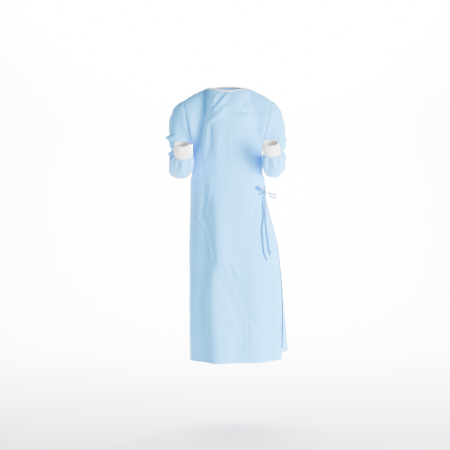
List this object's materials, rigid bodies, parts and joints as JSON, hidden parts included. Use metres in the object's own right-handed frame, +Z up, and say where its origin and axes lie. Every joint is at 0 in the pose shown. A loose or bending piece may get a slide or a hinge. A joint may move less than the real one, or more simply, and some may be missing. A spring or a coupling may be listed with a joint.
{
  "type": "surgical gown",
  "caption": "Worn surgical gown, long sleeves with knit cuffs, wrapped back, bound neck and a side bow of flat waist ties.",
  "frame": {"origin": "Middle of the neck opening, at the height where the shoulders carry the gown", "axes": "+Z up along the gown, front towards -Y, the wearer's left towards +X, the back of the wearer towards +Y"},
  "size_m": [0.5165, 0.3945, 1.176],
  "materials": {
    "gown_cloth": "matt nonwoven with a fine bonded dot pattern",
    "tie_cloth": "matt folded nonwoven tape",
    "white_knit": "soft rib knit",
    "hook_and_loop": "short dense loop pile and hooks"
  },
  "bodies": {
    "root": {"front_panel": "gown_cloth", "back_panel_outer": "gown_cloth", "back_panel_inner": "gown_cloth", "sleeve_left": "gown_cloth", "sleeve_right": "gown_cloth", "cuff_left": "white_knit", "cuff_right": "white_knit", "neck_binding": "white_knit", "neck_loop_patch": "hook_and_loop", "neck_hook_patch": "hook_and_loop", "tie_knot": "tie_cloth", "tie_back": "tie_cloth", "tie_front": "tie_cloth", "tie_loop_front": "tie_cloth", "tie_loop_side": "tie_cloth", "tie_end": "tie_cloth", "tie_tail_front": "tie_cloth", "tie_tail_side": "tie_cloth"}
  },
  "joints": []
}
